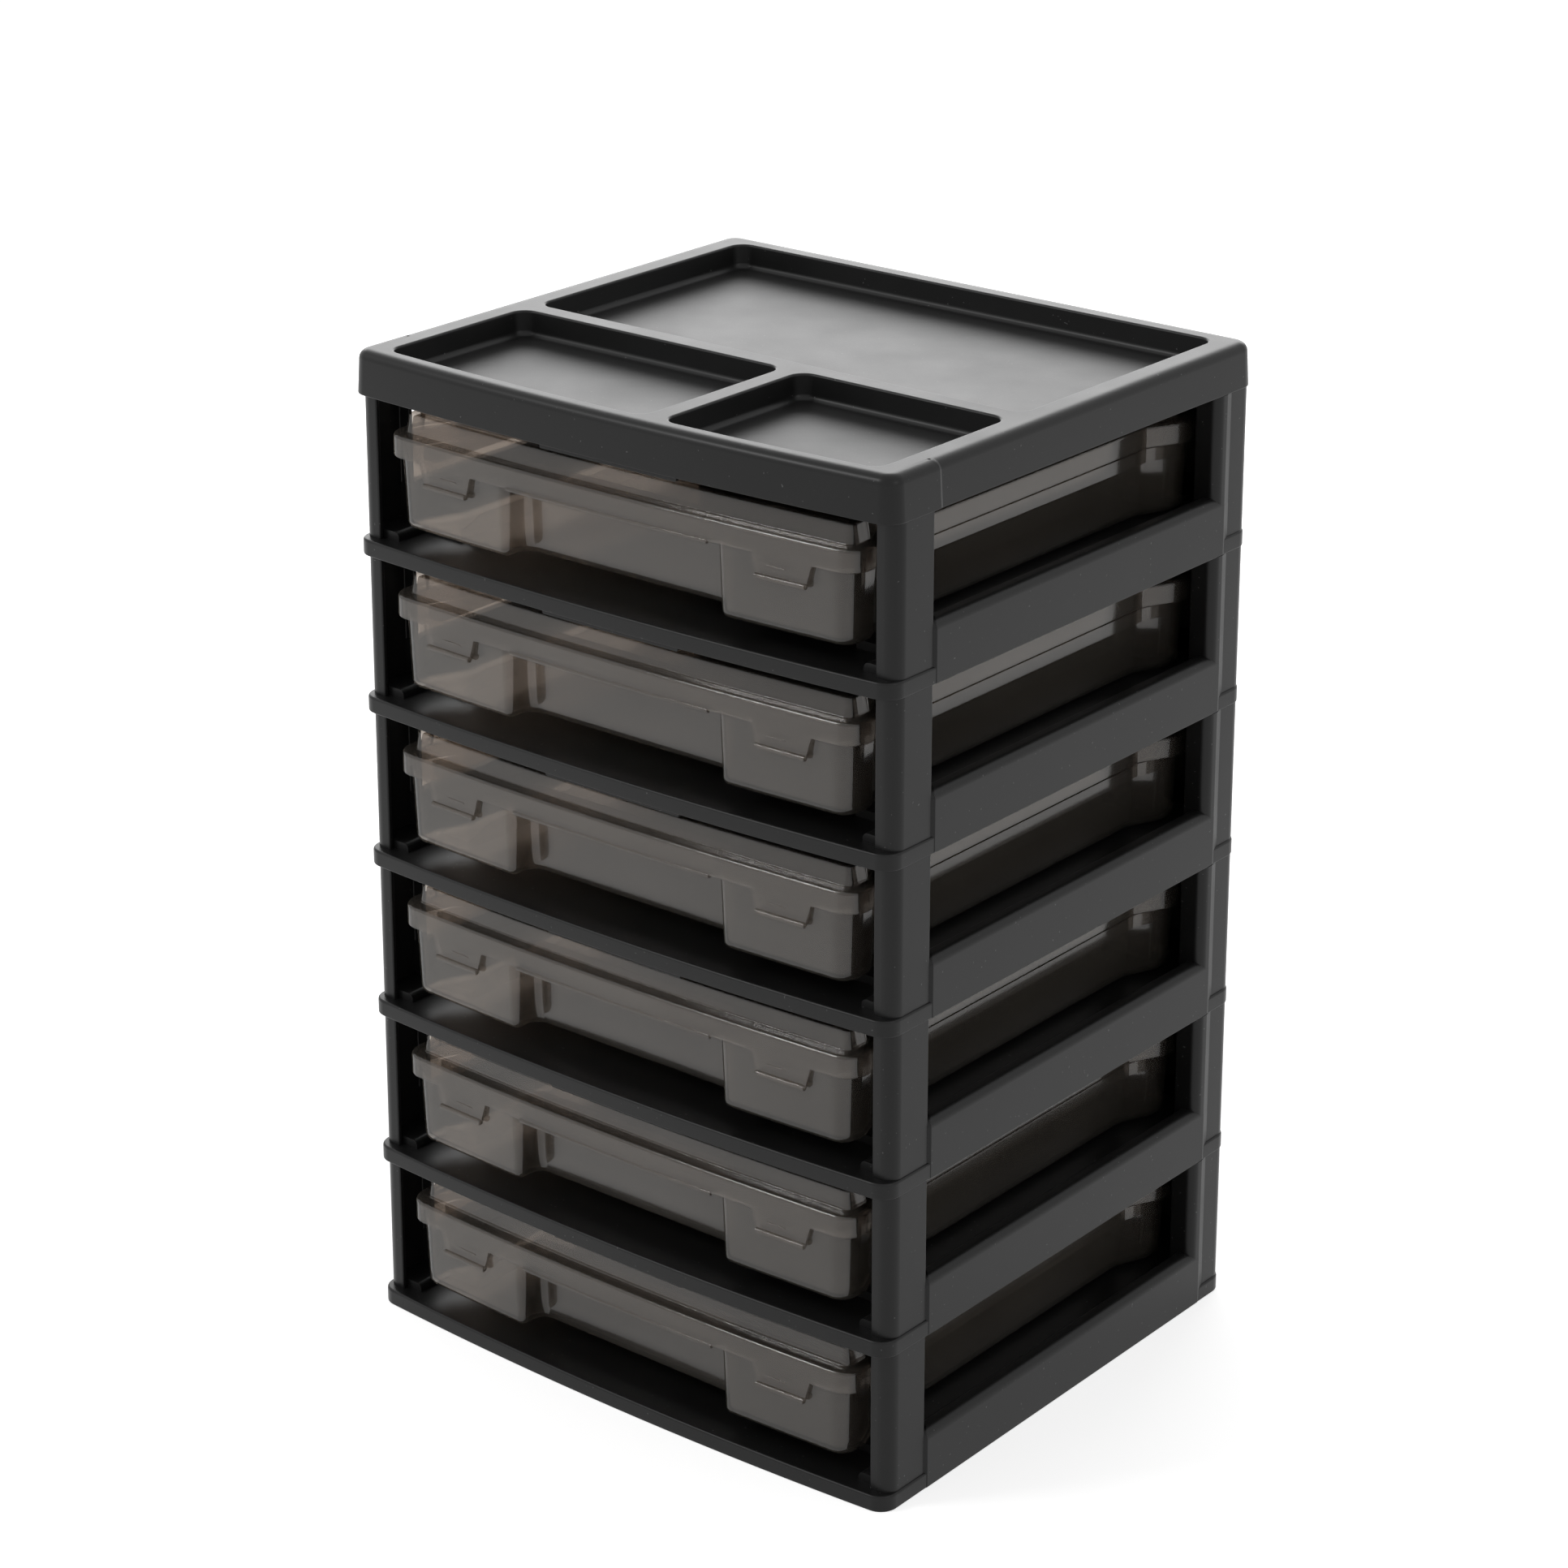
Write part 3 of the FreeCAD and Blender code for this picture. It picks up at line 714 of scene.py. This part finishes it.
def seen(look):
    """1 for what the camera, a reflection or a clear wall shows of the surround."""
    camera_ray = look.node("ShaderNodeLightPath", output=0)
    glossy_ray = look.node("ShaderNodeLightPath", output=3)
    through_ray = look.node("ShaderNodeLightPath", output=6)
    return (camera_ray + glossy_ray + through_ray).math("MINIMUM", 1.0)


paper = Finish("paper")
sheet = paper.node("ShaderNodeBsdfDiffuse", None, {"Color": (0.8, 0.8, 0.8, 1)})
glow = paper.node(
    "ShaderNodeEmission", None, {"Color": (1, 1, 1, 1), "Strength": seen(paper) * 0.62})
lit_sheet = paper.node("ShaderNodeAddShader", None, {0: sheet, 1: glow})
floor_mesh.materials.append(paper.finish(lit_sheet))

world = bpy.data.worlds.new("surround")
world.use_nodes = True
bpy.context.scene.world = world
surround = Finish("surround", world.node_tree)
backdrop = world.node_tree.nodes["Background"]
backdrop.inputs["Color"].default_value = (1, 1, 1, 1)
connect(surround.tree, backdrop.inputs["Strength"], 0.55 + seen(surround) * 0.45)


def lamp(name, place, aim, size, power):
    """A rectangular lamp that points at its aim."""
    data = bpy.data.lights.new(name, "AREA")
    data.shape = "RECTANGLE"
    data.size, data.size_y = size
    data.energy = power
    shown = bpy.data.objects.new(name, data)
    shown.location = place
    direction = Matrix.Translation(aim).translation - shown.location
    shown.rotation_euler = direction.to_track_quat("-Z", "Y").to_euler()
    shown.visible_camera = False
    bpy.context.scene.collection.objects.link(shown)


lamp("key", (-1.6, -2.2, 2.6), (0, 0, 0.35), (0.7, 0.7), 22)
lamp("fill", (2.6, -0.4, 1.8), (0, 0, 0.35), (0.5, 0.9), 4)
lamp("back", (-1.5, 1.9, 1.4), (0, 0, 0.62), (3.0, 1.4), 32)

camera_data = bpy.data.cameras.new("camera")
camera_data.sensor_width = 36.0
camera_data.lens = 5100.3 * 36.0 / 1932
camera_data.shift_y = -366 / 1932
camera_data.clip_end = 50
camera = bpy.data.objects.new("camera", camera_data)
camera.location = (1.47606, -1.83074, 1.29257)
camera.rotation_euler = (math.radians(72.24), 0, math.radians(39.12))
bpy.context.scene.collection.objects.link(camera)
bpy.context.scene.camera = camera
bpy.context.scene.view_settings.view_transform = "Standard"
